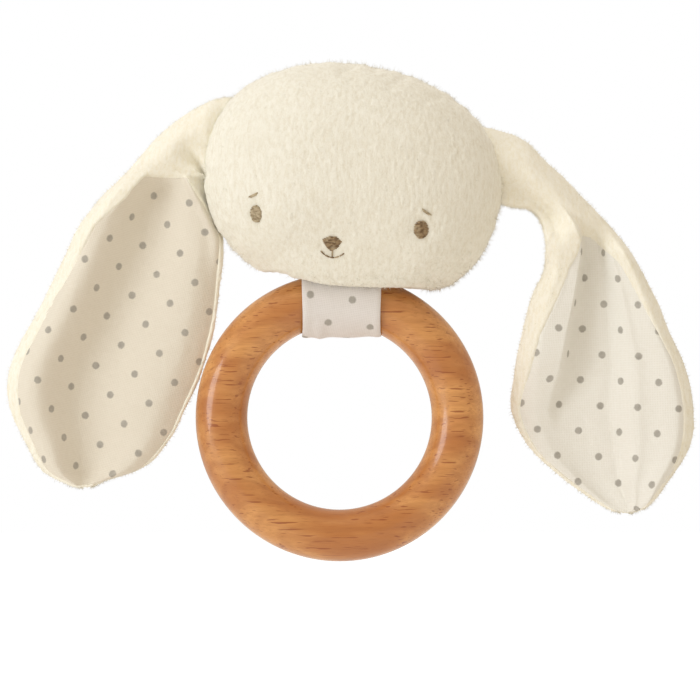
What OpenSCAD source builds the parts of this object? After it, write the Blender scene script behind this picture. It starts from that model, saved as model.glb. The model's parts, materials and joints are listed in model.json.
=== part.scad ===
// Bunny teething ring: a varnished wooden ring, a cotton loop round it, and a stuffed
// plush head with two long lined ears. Millimetres, +Z up, front face towards -Y.
// The origin is the centre of the wooden ring. Left and right are as seen from the front.

/* [Wooden ring] */
// Outside diameter of the ring
ring_od = 70; // [64:1:74]
// Thickness of the ring's round section
ring_t = 12.6; // [11:0.2:13.4]

/* [Cotton loop] */
// Width of the loop along the ring
loop_w = 19; // [14:0.5:20]
// Thickness of the folded cotton
loop_t = 0.7; // [0.5:0.1:0.9]

/* [Head] */
// Width of the head
head_w = 72.6; // [70:0.2:75]
// Height of the head
head_h = 57; // [56:0.2:59]
// Depth of the head, front to back
head_d = 35; // [33:0.5:38]
// Lean of the head, clockwise from the front
head_lean = 11; // [8:0.5:13]
// Thickness of the plush with its pile
plush_t = 1.6; // [1.2:0.1:2]

/* [Face] */
// Distance between the eyes
eye_gap = 40.2; // [36:0.2:42]
// Lean of the face, clockwise from the front
face_lean = 5.6; // [3:0.2:8]
// Thickness of the embroidery
thread_t = 0.7; // [0.5:0.1:1]

/* [Ears] */
// Reach of the left ear beyond its root
left_reach = 49.6; // [46:0.2:52]
// Length of the left ear below its fold
left_len = 72.5; // [66:0.5:76]
// Reach of the right ear beyond its root
right_reach = 48.6; // [46:0.2:52]
// Length of the right ear below its fold
right_len = 67.4; // [62:0.2:72]
// Thickness of the cotton lining
lining_t = 0.8; // [0.5:0.1:1]
// How far an ear's edges curl forward
ear_cup = 8; // [5:0.5:9]

/* [Rattle] */
// Outside diameter of the rattle capsule
rattle_d = 24; // [22:0.5:25]
// Wall of the rattle capsule
rattle_wall = 1.2; // [0.8:0.1:1.4]
// Diameter of one bead
bead_d = 5; // [4:0.2:5.2]
// Number of beads
bead_n = 5; // [3:1:5]

/* [Hidden] */
$fn = 64;
ring_facets = 128;
small_facets = 32;
root_facets = 20;

plush_colour = "#f3ead6";
cotton_colour = "#f6f2ea";
fibre_colour = "#fbfaf6";
thread_colour = "#8c7d69";
wood_colour = "#c07b48";
capsule_colour = "#dfe6ea";
bead_colour = "#b9c2c8";

// Clearance between neighbouring soft pieces
gap = 0.2;

// Ring: its section, and the section's centre at the top of the ring
tube_r = ring_t / 2;
tube_z = ring_od / 2 - tube_r;

// Loop: it is straight along X while the ring drops away, so it is longer than the section
loop_fit = 0.1;
loop_slack = 0.45;
hole_r = ring_od / 2 - ring_t;
loop_r = tube_r + loop_slack;
loop_low_z = sqrt(pow(hole_r, 2) - pow(loop_w / 2, 2)) - loop_fit + loop_r;

// The head's underside is hollowed round the loop, and the loop's ends stand above that
groove_fit = 0.75;
groove_r = loop_r + loop_t + groove_fit;
tab_h = 5;
tab_lift = 3.1;
tab_z = tube_z + groove_r + tab_lift;

// Head: centre, and the shape of its outline and of its crown
head_x = 3.5;
head_z = 57.6;
top_power = 2.15;
low_power = 2.48;
up_reach = head_h * 0.492;
low_reach = head_h * 0.52;
crown_power = 2.4;
head_turns = 40;
head_rings = 6;
stuffing_inset = plush_t + 0.8;

// Face: places measured from the middle of the head
face_mid = -2.7;
eye_up = -10.2;
left_eye_size = [3.1, 4.4];
right_eye_size = [3.8, 4.5];
left_eye_turn = 8;
right_eye_turn = 4;
brow_lift = 4.2;
left_brow_out = 1;
right_brow_out = 0.7;
brow_size = [0.8, 2.6];
left_brow_turn = -70;
right_brow_turn = 62;
nose_x = face_mid - 1.1;
nose_up = -15.5;
nose_half_w = 1.3;
nose_corner_r = 0.85;
mouth_x = face_mid - 0.6;
mouth_drop = 3.2;
smile_r = 3.8;
smile_line = 0.6;

// Ears: one row is [along the ear, outer edge, inner edge], the edges as shares of the reach
left_rows = [
    [0, 0.45, 0.07], [0.15, 0.67, 0.02], [0.3, 0.78, 0.03], [0.45, 0.89, 0.05],
    [0.6, 1, 0.10], [0.75, 0.99, 0.16], [0.9, 0.89, 0.25], [0.97, 0.83, 0.4], [1, 0.71, 0.55]
];
right_rows = [
    [0, 0.62, 0.30], [0.15, 0.76, 0.27], [0.3, 0.86, 0.19], [0.45, 0.95, 0.14],
    [0.6, 1, 0.11], [0.75, 0.98, 0.19], [0.9, 0.86, 0.41], [0.97, 0.79, 0.55], [1, 0.72, 0.62]
];

// Ear roots: where each leaves the head, the height of its fold, and its corners
left_root = [-31, 67.2];
right_root = [37.6, 61];
left_fold_z = 58.5;
right_fold_z = 46.7;
left_spots = [[-51, left_fold_z], [-35, left_fold_z], [-47, 64.5], [-39.5, 70.5]];
right_spots = [[64.5, right_fold_z], [51.5, right_fold_z], [58, 54], [47, 63]];
left_point = left_root - [2.2, 0];
right_point = right_root + [3.2, 0];
fold_r = 2;
fold_gap = 0.6;
fold_y = 0.5;

// Ears: the middle sheet's depth, the share of the length over which it becomes cupped,
// the widest share an ear reaches, and the plush's two faces either side of the sheet
ear_back_y = 3;
cupped_by = 0.35;
widest = 0.9;
plush_front = -0.3;
plush_back = 1.8;
ear_steps = 14;
ear_spans = 8;
tip_crowding = 1.3;

rattle_r = rattle_d / 2;
rattle_drop = 4.5;
bead_ring_r = 5;

// ---- shared shapes ----------------------------------------------------------------

function signed_power(v, p) = sign(v) * pow(abs(v), p);

// A point of the head, seen from the front: share is 0 at the centre and 1 at the seam
function outline(angle, share) = let(
    power = sin(angle) > 0 ? top_power : low_power,
    reach = sin(angle) > 0 ? up_reach : low_reach,
    u = head_w / 2 * share * signed_power(cos(angle), 2 / power),
    v = reach * share * signed_power(sin(angle), 2 / power)
) [head_x + u * cos(head_lean) + v * sin(head_lean),
   head_z - u * sin(head_lean) + v * cos(head_lean)];

function crown(share) = head_d / 2 * sqrt(max(0, 1 - pow(share, crown_power)));

// The head rests over the ring, so its underside is lifted clear of the loop
function clear_of_loop(p, r) = abs(p[1]) >= r ? p : [
    p[0], p[1], max(p[2], tube_z + sqrt(r * r - p[1] * p[1]))
];

// side is -1 for the front and 1 for the back; inset shrinks the shape for its lining
function head_point(angle, share, side, inset) = let(
    at = outline(angle, share * (1 - inset * 2 / head_h)),
    deep = crown(share) * (1 - inset * 2 / head_d)
) clear_of_loop([at[0], side * deep, at[1]], groove_r + inset);

// A closed solid between two grids of points that have the same rows and columns
module sheet_solid(near, far) {
    rows = len(near);
    cols = len(near[0]);
    flat = [for (grid = [near, far]) for (row = grid) for (p = row) p];
    function at(g, i, j) = g * rows * cols + i * cols + j;
    skins = [for (i = [0:rows - 2]) for (j = [0:cols - 2]) each [
        [at(0, i, j), at(0, i, j + 1), at(0, i + 1, j + 1)],
        [at(0, i, j), at(0, i + 1, j + 1), at(0, i + 1, j)],
        [at(1, i, j), at(1, i + 1, j + 1), at(1, i, j + 1)],
        [at(1, i, j), at(1, i + 1, j), at(1, i + 1, j + 1)]
    ]];
    ends = [for (i = [0:rows - 2]) each [
        [at(0, i, 0), at(0, i + 1, 0), at(1, i + 1, 0), at(1, i, 0)],
        [at(0, i + 1, cols - 1), at(0, i, cols - 1), at(1, i, cols - 1), at(1, i + 1, cols - 1)]
    ]];
    rims = [for (j = [0:cols - 2]) each [
        [at(0, 0, j + 1), at(0, 0, j), at(1, 0, j), at(1, 0, j + 1)],
        [at(0, rows - 1, j), at(0, rows - 1, j + 1), at(1, rows - 1, j + 1), at(1, rows - 1, j)]
    ]];
    polyhedron(flat, concat(skins, ends, rims), convexity = 6);
}

// A closed solid between two domes, each given as rings of points round one middle point
module dome_solid(outer, inner, outer_mid, inner_mid, flip) {
    rings = len(outer);
    turns = len(outer[0]);
    flat = concat(
        [for (grid = [outer, inner]) for (ring = grid) for (p = ring) p],
        [outer_mid, inner_mid]
    );
    mids = 2 * rings * turns;
    function at(g, i, j) = g * rings * turns + i * turns + j % turns;
    function turned(face, over) = over ? [face[2], face[1], face[0]] : face;
    faces = [for (g = [0, 1]) for (j = [0:turns - 1]) each concat(
        [turned([mids + g, at(g, 0, j), at(g, 0, j + 1)], g == 1)],
        [for (i = [0:rings - 2]) each [
            turned([at(g, i, j), at(g, i + 1, j), at(g, i + 1, j + 1)], g == 1),
            turned([at(g, i, j), at(g, i + 1, j + 1), at(g, i, j + 1)], g == 1)
        ]]
    )];
    rim = [for (j = [0:turns - 1]) each [
        [at(0, rings - 1, j), at(1, rings - 1, j), at(1, rings - 1, j + 1)],
        [at(0, rings - 1, j), at(1, rings - 1, j + 1), at(0, rings - 1, j + 1)]
    ]];
    all = concat(faces, rim);
    polyhedron(flat, flip ? [for (f = all) turned(f, true)] : all, convexity = 6);
}

// A closed solid through rings of points, with one point at each end
module spindle_solid(rings, first, last) {
    turns = len(rings[0]);
    count = len(rings);
    flat = concat([for (ring = rings) for (p = ring) p], [first, last]);
    ends = count * turns;
    function at(i, j) = i * turns + j % turns;
    faces = [for (j = [0:turns - 1]) each concat(
        [[ends, at(0, j), at(0, j + 1)]],
        [for (i = [0:count - 2]) each [
            [at(i, j), at(i + 1, j), at(i + 1, j + 1)],
            [at(i, j), at(i + 1, j + 1), at(i, j + 1)]
        ]],
        [[ends + 1, at(count - 1, j + 1), at(count - 1, j)]]
    )];
    polyhedron(flat, faces, convexity = 6);
}

function dome(side, inset) = [
    for (i = [1:head_rings]) [
        for (j = [0:head_turns - 1])
            head_point(360 * j / head_turns, sin(90 * i / head_rings), side, inset)
    ]
];

module head_panel(side) {
    dome_solid(
        [for (ring = dome(side, 0)) [for (p = ring) p + [0, side * gap / 2, 0]]],
        [for (ring = dome(side, plush_t)) [for (p = ring) p + [0, side * gap / 2, 0]]],
        head_point(0, 0, side, 0) + [0, side * gap / 2, 0],
        head_point(0, 0, side, plush_t) + [0, side * gap / 2, 0],
        side > 0
    );
}

// A point of the face: across and up from the middle of the head, before the face leans
function face_spot(across, up) = [
    head_x + across * cos(face_lean) + up * sin(face_lean),
    head_z - across * sin(face_lean) + up * cos(face_lean)
];

// The share of the way from the middle of the head to its seam, at a spot seen from the front
function share_at(spot) = let(
    d = spot - [head_x, head_z],
    u = d[0] * cos(head_lean) - d[1] * sin(head_lean),
    v = d[0] * sin(head_lean) + d[1] * cos(head_lean),
    power = v > 0 ? top_power : low_power,
    reach = v > 0 ? up_reach : low_reach
) pow(pow(abs(u) / (head_w / 2), power) + pow(abs(v) / reach, power), 1 / power);

function face_y(spot) = -crown(share_at(spot)) - gap / 2;

// Lays a thin shape on the front of the head, facing out of it
module on_face(spot) {
    step = 0.5;
    slope_x = (face_y(spot + [step, 0]) - face_y(spot - [step, 0])) / (2 * step);
    slope_z = (face_y(spot + [0, step]) - face_y(spot - [0, step])) / (2 * step);
    out = [slope_x, -1, slope_z] / norm([slope_x, -1, slope_z]);
    translate([spot[0], face_y(spot), spot[1]] + out * gap)
        rotate([90 - asin(out[2]), 0, atan2(out[0], -out[1])])
            rotate([0, 0, -face_lean])
                children();
}

// Where an edge of the ear lies at s along it, on a smooth curve through its rows
function smooth(a, b, c, d, f) = b + f * (
    (c - a) / 2 + f * ((2 * a - 5 * b + 4 * c - d) / 2 + f * (3 * b - a - 3 * c + d) / 2)
);
function row_before(rows, s, i = 0) =
    i >= len(rows) - 2 || rows[i + 1][0] >= s ? i : row_before(rows, s, i + 1);
function edge(rows, s, k) = let(
    i = row_before(rows, s),
    last = len(rows) - 1,
    f = (s - rows[i][0]) / (rows[i + 1][0] - rows[i][0])
) smooth(rows[max(i - 1, 0)][k], rows[i][k], rows[i + 1][k], rows[min(i + 2, last)][k], f);

// The middle sheet of an ear: flat at its fold, and cupped forward further down
function ear_point(side, rows, root_x, reach, top_z, length, s, t) = let(
    outer = edge(rows, s, 1),
    inner = edge(rows, s, 2),
    cupped = min(1, s / cupped_by),
    y_mid = fold_y + (ear_back_y - fold_y) * cupped,
    curl = ear_cup * cupped * pow((2 * t - 1) * (outer - inner) / widest, 2)
) [root_x + side * reach * (inner + (outer - inner) * t), y_mid - curl, top_z - length * s];

function ear_grid(side, rows, root_x, reach, top_z, length, y) = [
    for (i = [0:ear_steps]) [
        for (j = [0:ear_spans])
            ear_point(side, rows, root_x, reach, top_z, length,
                      1 - pow(1 - i / ear_steps, tip_crowding), j / ear_spans) + [0, y, 0]
    ]
];

module ear_layer(side, front_y, back_y) {
    rows = side < 0 ? left_rows : right_rows;
    root_x = side < 0 ? left_root[0] : right_root[0];
    reach = side < 0 ? left_reach : right_reach;
    length = side < 0 ? left_len : right_len;
    top_z = (side < 0 ? left_fold_z : right_fold_z) - fold_r - fold_gap;
    front = ear_grid(side, rows, root_x, reach, top_z, length, front_y);
    back = ear_grid(side, rows, root_x, reach, top_z, length, back_y);
    if (side < 0) sheet_solid(back, front);
    else sheet_solid(front, back);
}

// The folded root of an ear: a wedge with its point at the head's seam
module ear_root(spots, point) {
    hull() {
        for (p = spots)
            translate([p[0], fold_y, p[1]])
                sphere(r = fold_r, $fn = root_facets);
        translate([point[0], fold_y, point[1]])
            sphere(r = fold_r / 2, $fn = root_facets);
    }
}

// ---- ring and loop ----------------------------------------------------------------

module wooden_ring() {
    color(wood_colour)
        rotate([90, 0, 0])
            rotate_extrude($fn = ring_facets)
                translate([tube_z, 0])
                    circle(r = tube_r);
}

// The loop's section: round over the ring, and straight-sided down to its lower turn
module loop_outline(r) {
    translate([0, tube_z])
        circle(r = r);
    translate([0, loop_low_z])
        circle(r = r);
    translate([-r, loop_low_z])
        square([2 * r, tube_z - loop_low_z]);
}

module ring_loop() {
    color(cotton_colour)
        translate([-loop_w / 2, 0, 0])
            rotate([90, 0, 90])
                linear_extrude(loop_w)
                    difference() {
                        loop_outline(loop_r + loop_t);
                        loop_outline(loop_r);
                    }
}

// The loop's two ends, one on the other, held in the seam under the head
module loop_sewn_ends() {
    color(cotton_colour)
        translate([-loop_w / 2, -loop_t, tab_z])
            cube([loop_w, 2 * loop_t, tab_h]);
}

// ---- head -------------------------------------------------------------------------

module head_front_panel() {
    color(plush_colour)
        head_panel(-1);
}

module head_back_panel() {
    color(plush_colour)
        head_panel(1);
}

// The filling, with room for the rattle and for the loop's sewn ends
module head_stuffing() {
    slot_t = loop_t * 2 + 2 * gap;
    front = dome(-1, stuffing_inset);
    back = dome(1, stuffing_inset);
    color(fibre_colour)
        difference() {
            spindle_solid(
                concat(front, [for (i = [2:head_rings]) back[head_rings - i]]),
                head_point(0, 0, -1, stuffing_inset),
                head_point(0, 0, 1, stuffing_inset)
            );
            translate([head_x, 0, head_z])
                sphere(r = rattle_r + gap);
            translate([-loop_w / 2 - gap, -slot_t / 2, tube_z])
                cube([loop_w + 2 * gap, slot_t, tab_z + tab_h + gap - tube_z]);
        }
}

// ---- rattle -----------------------------------------------------------------------

module rattle_half(side) {
    color(capsule_colour)
        translate([head_x, 0, head_z])
            difference() {
                sphere(r = rattle_r);
                sphere(r = rattle_r - rattle_wall);
                translate([-rattle_d, side > 0 ? -2 * rattle_d : 0, -rattle_d])
                    cube(2 * rattle_d);
            }
}

module rattle_shell_front() {
    rattle_half(-1);
}

module rattle_shell_back() {
    rattle_half(1);
}

// The beads lie in a circle low in the capsule
module rattle_beads() {
    color(bead_colour)
        translate([head_x, 0, head_z - rattle_drop])
            for (i = [0:bead_n - 1])
                rotate([0, 0, 360 * i / bead_n])
                    translate([bead_ring_r, 0, 0])
                        sphere(d = bead_d);
}

// ---- face -------------------------------------------------------------------------

module stitched_oval(spot, size, turn) {
    color(thread_colour)
        on_face(spot)
            rotate([0, 0, turn])
                linear_extrude(thread_t)
                    hull()
                        for (end = [-1, 1])
                            translate([0, end * (size[1] - size[0]) / 2])
                                circle(d = size[0], $fn = small_facets);
}

// side is -1 for the left eye and 1 for the right one; out and up are measured from it
function eye_spot(side, out, up) = face_spot(face_mid + side * (eye_gap / 2 + out), eye_up + up);

module left_eye() {
    stitched_oval(eye_spot(-1, 0, 0), left_eye_size, left_eye_turn);
}

module right_eye() {
    stitched_oval(eye_spot(1, 0, 0), right_eye_size, right_eye_turn);
}

module left_brow() {
    stitched_oval(eye_spot(-1, left_brow_out, brow_lift), brow_size, left_brow_turn);
}

module right_brow() {
    stitched_oval(eye_spot(1, right_brow_out, brow_lift), brow_size, right_brow_turn);
}

// A rounded triangle, point down
module nose() {
    color(thread_colour)
        on_face(face_spot(nose_x, nose_up))
            linear_extrude(thread_t)
                hull()
                    for (corner = [[-nose_half_w, 0.6], [nose_half_w, 0.6], [0, -0.9]])
                        translate(corner)
                            circle(r = nose_corner_r, $fn = small_facets);
}

// A short stem, and a shallow smile under it
module mouth() {
    stem_h = 1.6;
    stem_low = -0.9;
    smile_low = -1.1;
    smile_end = 0.68 * smile_r;
    color(thread_colour)
        on_face(face_spot(mouth_x, nose_up - mouth_drop))
            linear_extrude(thread_t) {
                translate([-smile_line / 2, stem_low])
                    square([smile_line, stem_h]);
                translate([0, smile_r + smile_low])
                    difference() {
                        circle(r = smile_r + smile_line / 2);
                        circle(r = smile_r - smile_line / 2);
                        translate([-2 * smile_r, -smile_end])
                            square(4 * smile_r);
                    }
            }
}

// ---- ears -------------------------------------------------------------------------

module left_ear_root() {
    color(plush_colour)
        ear_root(left_spots, left_point);
}

module right_ear_root() {
    color(plush_colour)
        ear_root(right_spots, right_point);
}

module ear_plush(side) {
    color(plush_colour)
        ear_layer(side, plush_front, plush_back);
}

module ear_lining(side) {
    color(cotton_colour)
        ear_layer(side, plush_front - gap - lining_t, plush_front - gap);
}

module left_ear_plush() {
    ear_plush(-1);
}

module left_ear_lining() {
    ear_lining(-1);
}

module right_ear_plush() {
    ear_plush(1);
}

module right_ear_lining() {
    ear_lining(1);
}

wooden_ring();
ring_loop();
loop_sewn_ends();
head_front_panel();
head_back_panel();
head_stuffing();
rattle_shell_front();
rattle_shell_back();
rattle_beads();
left_eye();
right_eye();
left_brow();
right_brow();
nose();
mouth();
left_ear_root();
left_ear_plush();
left_ear_lining();
right_ear_root();
right_ear_plush();
right_ear_lining();
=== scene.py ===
import json
import math
from contextlib import contextmanager

import bmesh
import bpy
import numpy as np
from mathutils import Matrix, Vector, noise
from mathutils.bvhtree import BVHTree


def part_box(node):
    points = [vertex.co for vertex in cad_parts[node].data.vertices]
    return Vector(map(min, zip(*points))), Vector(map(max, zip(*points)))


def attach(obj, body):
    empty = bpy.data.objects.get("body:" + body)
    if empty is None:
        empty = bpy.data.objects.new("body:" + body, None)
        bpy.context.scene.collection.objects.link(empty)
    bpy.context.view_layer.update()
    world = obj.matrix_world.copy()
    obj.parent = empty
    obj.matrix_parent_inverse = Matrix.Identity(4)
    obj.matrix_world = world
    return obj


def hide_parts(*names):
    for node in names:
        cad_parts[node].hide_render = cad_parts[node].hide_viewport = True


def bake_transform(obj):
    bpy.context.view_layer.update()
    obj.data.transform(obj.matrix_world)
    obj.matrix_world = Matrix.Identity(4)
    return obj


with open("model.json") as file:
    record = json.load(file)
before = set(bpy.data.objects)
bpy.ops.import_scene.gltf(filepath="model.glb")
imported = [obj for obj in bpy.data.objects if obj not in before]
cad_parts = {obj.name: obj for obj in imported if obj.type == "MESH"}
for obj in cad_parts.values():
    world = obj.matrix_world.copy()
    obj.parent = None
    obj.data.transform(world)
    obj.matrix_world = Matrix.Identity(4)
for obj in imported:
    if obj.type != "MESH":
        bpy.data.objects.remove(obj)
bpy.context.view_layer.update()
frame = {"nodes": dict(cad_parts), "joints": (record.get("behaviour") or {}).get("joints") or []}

MM = 0.001
CLOTH_UNIT = 100 * MM

# ---- places and sizes from the frame ----


def corners(*nodes):
    """Lowest and highest corner of several CAD nodes together."""
    boxes = [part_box(node) for node in nodes]
    lo = np.min([np.array(b[0]) for b in boxes], axis=0)
    hi = np.max([np.array(b[1]) for b in boxes], axis=0)
    return lo, hi


joints = {j["name"]: j for j in frame["joints"]}

ring_lo, ring_hi = corners("wooden_ring")
RING_R = (ring_hi[0] - ring_lo[0]) / 2
TUBE_R = (ring_hi[1] - ring_lo[1]) / 2
TUBE_Z = RING_R - TUBE_R

loop_lo, loop_hi = corners("ring_loop")
LOOP_W = loop_hi[0] - loop_lo[0]
LOOP_T = 0.7 * MM
LOOP_R = (loop_hi[1] - loop_lo[1]) / 2 - LOOP_T / 2
LOOP_LOW_Z = loop_lo[2] + LOOP_R + LOOP_T / 2

# The head is widest a little above the middle of its box. Shares are of half its width.
head_lo, head_hi = corners("head_front_panel", "head_back_panel")
HEAD_HALF_W = (head_hi[0] - head_lo[0]) / 2
HEAD_HALF_D = (head_hi[1] - head_lo[1]) / 2
HEAD_UP = HEAD_HALF_W * 0.772
HEAD_DOWN = HEAD_HALF_W * 0.815
HEAD_X = (head_hi[0] + head_lo[0]) / 2
HEAD_Z = head_hi[2] - HEAD_HALF_W * 0.783
HEAD_LEAN = math.radians(11)
FACE_LEAN = math.radians(5.6)
CHIN_Z = TUBE_Z + 1.6 * MM

# ---- small numeric helpers ----


def smoothstep(low, high, v):
    """0 below low, 1 above high, and smooth between."""
    f = np.clip((v - low) / (high - low), 0, 1)
    return f * f * (3 - 2 * f)


def bell(v, middle, width):
    """1 at the middle, falling away on both sides."""
    return np.exp(-(((v - middle) / width) ** 2))


def signed_power(v, power):
    """The power of v's size, with v's sign."""
    return np.sign(v) * np.abs(v) ** power


def unit(v):
    """Rows of v, each scaled to a length of 1."""
    return v / np.linalg.norm(v, axis=1)[:, None]


def turns(count):
    """Angles evenly round a full turn."""
    return np.arange(count) * 2 * math.pi / count


def rotated(u, v, turn):
    """A place in a plane, turned about its origin from u towards v."""
    c, s = math.cos(turn), math.sin(turn)
    return u * c - v * s, u * s + v * c


def spline(points, at):
    """Places on the smooth curve through points, with at counted in points."""
    last = len(points) - 1
    i = np.clip(np.floor(at).astype(int), 0, last - 1)
    f = (at - i)[:, None]
    a, b = points[np.maximum(i - 1, 0)], points[i]
    c, d = points[i + 1], points[np.minimum(i + 2, last)]
    return b + f / 2 * (c - a + f * (2 * a - 5 * b + 4 * c - d + f * (3 * (b - c) + d - a)))


def profile(at, places, heights):
    """A smooth line through heights at places, level at each of them."""
    places, heights = np.asarray(places), np.asarray(heights)
    i = np.clip(np.searchsorted(places, at) - 1, 0, len(places) - 2)
    return heights[i] + (heights[i + 1] - heights[i]) * smoothstep(places[i], places[i + 1], at)


def noise_at(points, size, squash, shift):
    """Noise of about -1 to 1 with lumps of one size, drawn out upward where squash is below 1."""
    scale = np.array((1, 1, squash)) / size
    return np.array([noise.noise(Vector(p)) for p in points * scale + shift])


# ---- mesh helpers ----


def link(obj):
    bpy.context.scene.collection.objects.link(obj)


def shade_smooth(mesh):
    mesh.polygons.foreach_set("use_smooth", [True] * len(mesh.polygons))


def mesh_object(name, verts, faces, uvs=None):
    """A smooth-shaded mesh object, with one UV per vertex if given."""
    mesh = bpy.data.meshes.new(name)
    mesh.from_pydata([tuple(v) for v in verts], [], faces)
    mesh.update()
    if uvs is not None:
        layer = mesh.uv_layers.new(name="UVMap")
        index = np.zeros(len(mesh.loops), np.int32)
        mesh.loops.foreach_get("vertex_index", index)
        layer.data.foreach_set("uv", np.asarray(uvs, np.float32)[index].ravel())
    shade_smooth(mesh)
    obj = bpy.data.objects.new(name, mesh)
    link(obj)
    return obj


def points_of(obj, kind="co"):
    """The places of a mesh's points, one row each, or another kind of vector at each point."""
    values = np.zeros(len(obj.data.vertices) * 3)
    obj.data.vertices.foreach_get(kind, values)
    return values.reshape(-1, 3)


def normals_of(obj):
    """The outward directions at a mesh's points, one row each."""
    return points_of(obj, "normal")


def move_points(obj, co):
    """Puts a mesh's points at new places."""
    obj.data.vertices.foreach_set("co", np.asarray(co, float).ravel())
    obj.data.update()


def tube_faces(rows, cols, joined=False):
    """Faces of a tube of rows, each a loop of cols points; a joined tube closes on itself."""
    faces = []
    for i in range(rows if joined else rows - 1):
        row, after = i * cols, (i + 1) % rows * cols
        for j in range(cols):
            k = (j + 1) % cols
            faces.append((row + j, row + k, after + k, after + j))
    return faces


def flipped(faces):
    """The same faces, seen from the other side."""
    return [tuple(reversed(face)) for face in faces]


def end_faces(start, cols, flip):
    """Quads that close a flat loop of cols points, joined across between its two sides."""
    faces = [(start, start + 1, start + cols - 1)]
    for j in range(1, cols // 2 - 1):
        faces.append((start + j, start + j + 1, start + cols - j - 1, start + cols - j))
    half = cols // 2
    faces.append((start + half - 1, start + half, start + half + 1))
    return flipped(faces) if flip else faces


def apply_modifiers(obj):
    """Makes the result of an object's modifiers its mesh, and removes them."""
    graph = bpy.context.evaluated_depsgraph_get()
    done = bpy.data.meshes.new_from_object(obj.evaluated_get(graph))
    obj.modifiers.clear()
    old = obj.data
    obj.data = done
    bpy.data.meshes.remove(old)
    shade_smooth(done)


def remesh(obj, voxel, smooth_rounds):
    """Even quads of about the voxel's size, then eased."""
    even = obj.modifiers.new("even", "REMESH")
    even.mode = "VOXEL"
    even.voxel_size = voxel
    ease = obj.modifiers.new("ease", "SMOOTH")
    ease.iterations = smooth_rounds
    ease.factor = 0.5
    apply_modifiers(obj)


@contextmanager
def editing(obj):
    """An object's mesh as a bmesh, written back when the work on it is done."""
    bm = bmesh.new()
    bm.from_mesh(obj.data)
    yield bm
    bm.to_mesh(obj.data)
    bm.free()


# ---- material helpers ----


class Nodes:
    """A short way to write a node material. Every size is in metres."""

    def __init__(self, name):
        self.material = bpy.data.materials.new(name)
        self.material.use_nodes = True
        self.tree = self.material.node_tree
        self.shader = self.tree.nodes["Principled BSDF"]

    def add(self, kind, inputs=None, **settings):
        """A node with its settings, and its inputs joined to sockets or set to values."""
        node = self.tree.nodes.new(kind)
        for key, value in settings.items():
            setattr(node, key, value)
        for key, value in (inputs or {}).items():
            self.join(value, node.inputs[key])
        return node

    def join(self, value, socket):
        if isinstance(value, bpy.types.NodeSocket):
            self.tree.links.new(value, socket)
        else:
            socket.default_value = value

    def math(self, operation, a, b=0.0):
        return self.add("ShaderNodeMath", {0: a, 1: b}, operation=operation).outputs[0]

    def mix(self, share, a, b):
        node = self.add("ShaderNodeMix", {0: share, 6: a, 7: b}, data_type="RGBA")
        return node.outputs[2]

    def ramp(self, value, low, high):
        """0 below low, 1 above high, and smooth between."""
        node = self.add(
            "ShaderNodeMapRange", {0: value, 1: low, 2: high}, interpolation_type="SMOOTHSTEP"
        )
        return node.outputs[0]

    def times(self, a, b):
        return self.math("MULTIPLY", a, b)

    def plus(self, a, b):
        return self.math("ADD", a, b)

    def minus(self, a, b):
        return self.math("SUBTRACT", a, b)

    def spread(self, value, low, high):
        """A value of 0 to 1 spread evenly over low to high."""
        return self.add("ShaderNodeMapRange", {0: value, 3: low, 4: high}).outputs[0]

    def split(self, vector):
        """The three parts of a vector."""
        return self.add("ShaderNodeSeparateXYZ", {0: vector}).outputs

    def place(self, stretch=(1, 1, 1)):
        """The place on the object, with its pattern stretched where stretch is below 1."""
        where = self.add("ShaderNodeTexCoord").outputs["Object"]
        return self.add("ShaderNodeMapping", {"Vector": where, "Scale": stretch}).outputs[0]

    def noise(self, size, detail=3.0, rough=0.55, stretch=(1, 1, 1)):
        """Noise of 0 to 1 whose lumps are about size across."""
        where = self.place(stretch)
        node = self.add(
            "ShaderNodeTexNoise",
            {"Vector": where, "Scale": 1 / size, "Detail": detail, "Roughness": rough},
        )
        return node.outputs["Fac"]

    def bump(self, height, distance, strength=1.0, under=None):
        """Small relief from a height of 0 to 1, over any relief under it."""
        inputs = {"Height": height, "Distance": distance, "Strength": strength}
        if under is not None:
            inputs["Normal"] = under
        return self.add("ShaderNodeBump", inputs).outputs[0]

    def finish(self, **inputs):
        """Joins the shader's inputs, named with _ for spaces, and gives the material."""
        for key, value in inputs.items():
            self.join(value, self.shader.inputs[key.replace("_", " ")])
        return self.material


def colour(red, green, blue):
    """An sRGB colour of 0 to 255 as the linear colour that shaders use."""

    def linear(v):
        v /= 255
        return v / 12.92 if v <= 0.04045 else ((v + 0.055) / 1.055) ** 2.4

    return (linear(red), linear(green), linear(blue), 1.0)


# ---- materials ----


def plush_material(name, light, shade):
    """Short-pile plush: fine tufts with painted shade in the gaps between them, a vertical nap
    and a soft sheen.
    """
    m = Nodes(name)
    nap = m.noise(0.75 * MM, detail=4, stretch=(1, 1, 0.3))
    tuft = m.noise(0.3 * MM, detail=2, stretch=(1, 1, 0.7))
    patch = m.noise(12 * MM, detail=2)
    depth = m.plus(m.times(nap, 0.6), m.times(tuft, 0.4))
    # Raised tufts take the light colour and the low gaps between them the shade colour: painted
    # shade in the pile.
    body = m.mix(m.ramp(depth, 0.3, 0.62), shade, light)
    tone = m.mix(m.times(m.ramp(patch, 0.35, 0.7), 0.2), body, shade)
    low = m.bump(nap, 0.3 * MM, 0.4)
    fine = m.bump(tuft, 0.15 * MM, 0.4, low)
    return m.finish(
        Base_Color=tone, Roughness=0.95, Normal=fine, Sheen_Weight=0.45,
        Sheen_Roughness=0.4, Sheen_Tint=(1, 1, 1, 1), Specular_IOR_Level=0.08,
    )


# The print and the weave of the cotton, in millimetres of cloth.
DOT_PITCH = 10.2
DOT_ROW = 6.2
DOT_R = 0.88
DOT_BLUR = 0.2
DOT_RAGGED = 0.35
THREAD_PITCH = 0.42


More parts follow.
